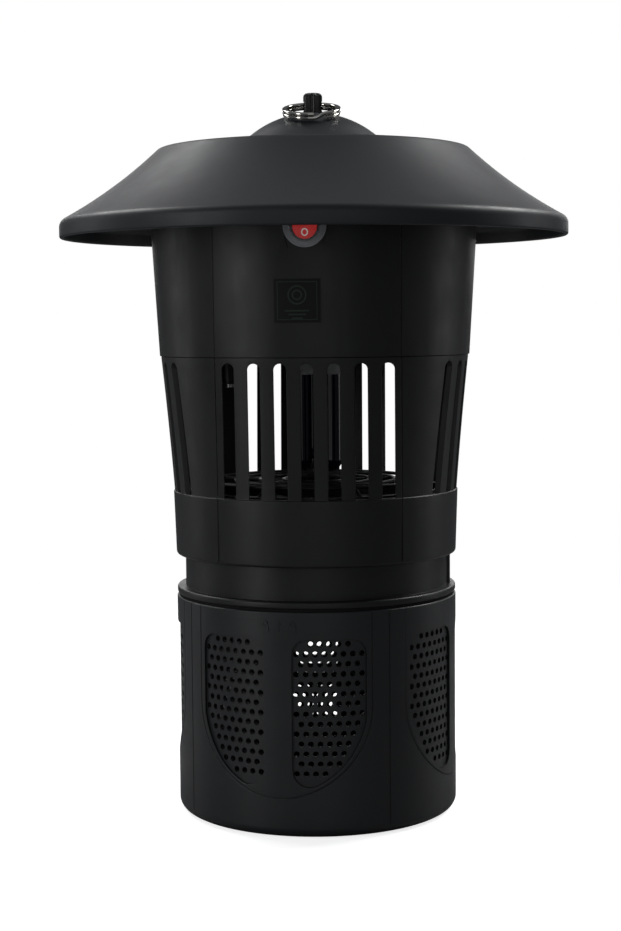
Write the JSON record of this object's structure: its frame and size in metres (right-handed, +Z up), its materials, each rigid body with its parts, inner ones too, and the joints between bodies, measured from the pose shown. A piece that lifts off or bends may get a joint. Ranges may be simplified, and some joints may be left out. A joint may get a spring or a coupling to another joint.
{
  "type": "insect trap",
  "caption": "Hanging ultraviolet suction insect trap: round roof, head with switch, slotted lamp cage, fan neck and perforated twist-off basket.",
  "frame": {"origin": "centre of the basket's flat base, on the trap's axis", "axes": "+Z up along the trap's axis, front with the switch towards -Y, +X to the right seen from the front"},
  "size_m": [0.251, 0.251, 0.3559],
  "materials": {
    "roof": "fine moulded grain, satin",
    "housing": "fine moulded grain, satin",
    "housing_inner": "moulded, satin",
    "hardware_black": "black painted, fine upright flutes",
    "fasteners": "zinc plated",
    "ring": "polished",
    "label": "printed film",
    "switch_black": "gloss",
    "switch_red": "gloss",
    "clear_boot": "clear silicone",
    "contacts": "bright",
    "lead_red": "extruded insulation",
    "lead_white": "extruded insulation",
    "board": "solder mask",
    "transformer": "taped winding",
    "capacitor": "shrink sleeve",
    "terminal_plastic": "moulded",
    "lamp_plastic": "moulded",
    "lamp_glass": "dark violet filter glass",
    "guard_wire": "powder coated wire",
    "motor_can": "zinc plated",
    "fan_plastic": "moulded, satin",
    "gasket": "closed-cell foam rubber",
    "basket": "fine moulded grain, satin"
  },
  "bodies": {
    "housing": {"roof_canopy": "roof", "roof_screws": "fasteners", "hanger_post": "hardware_black", "hanger_washer": "fasteners", "hanger_nut": "fasteners", "head_shell": "housing", "head_floor": "housing_inner", "label_plate": "label", "switch_body": "switch_black", "switch_boot": "clear_boot", "switch_terminals": "contacts", "switch_leads": "lead_red", "cable_gland": "housing_inner", "gland_nut": "housing_inner", "driver_board": "board", "driver_transformer": "transformer", "driver_capacitors": "capacitor", "terminal_block": "terminal_plastic", "board_screws": "fasteners", "lamp_holder": "lamp_plastic", "holder_screws": "fasteners", "lamp_base": "lamp_plastic", "lamp_tubes": "lamp_glass", "lamp_pins": "contacts", "lamp_leads": "lead_white", "inlet_cage": "housing", "cage_screws": "fasteners", "fan_guard": "guard_wire", "duct_screws": "fasteners", "fan_duct": "housing", "motor_mount": "housing_inner", "motor_screws": "fasteners", "fan_motor": "motor_can", "motor_lead": "lead_white"},
    "hanging_ring": {"hanging_ring": "ring"},
    "rocker": {"switch_rocker": "switch_red"},
    "fan": {"fan_rotor": "fan_plastic", "motor_shaft": "fasteners"},
    "twist_ring": {"basket_gasket": "gasket"},
    "basket": {"catch_basket": "basket", "grille_1": "basket", "grille_2": "basket", "grille_3": "basket", "grille_4": "basket", "grille_5": "basket", "grille_6": "basket", "grille_7": "basket", "grille_8": "basket"}
  },
  "joints": [
    {"name": "ring_swing", "type": "hinge", "parent": "housing", "child": "hanging_ring", "pos_m": [0, 0, 0.3496], "axis": [-1, 0, 0], "range_deg": [0, 214]},
    {"name": "rocker_tilt", "type": "hinge", "parent": "housing", "child": "rocker", "pos_m": [0, -0.07847, 0.2869], "axis": [-1, 0, 0], "range_deg": [0, 16]},
    {"name": "fan_spin", "type": "hinge", "parent": "housing", "child": "fan", "pos_m": [0, 0, 0.147], "axis": [0, 0, 1], "continuous": true},
    {"name": "basket_twist", "type": "hinge", "parent": "housing", "child": "twist_ring", "pos_m": [0, 0, 0.1086], "axis": [0, 0, 1], "range_deg": [0, 12.7]},
    {"name": "basket_pull", "type": "slide", "parent": "twist_ring", "child": "basket", "axis": [0, 0, -1], "range_m": [0, 0.15]}
  ]
}
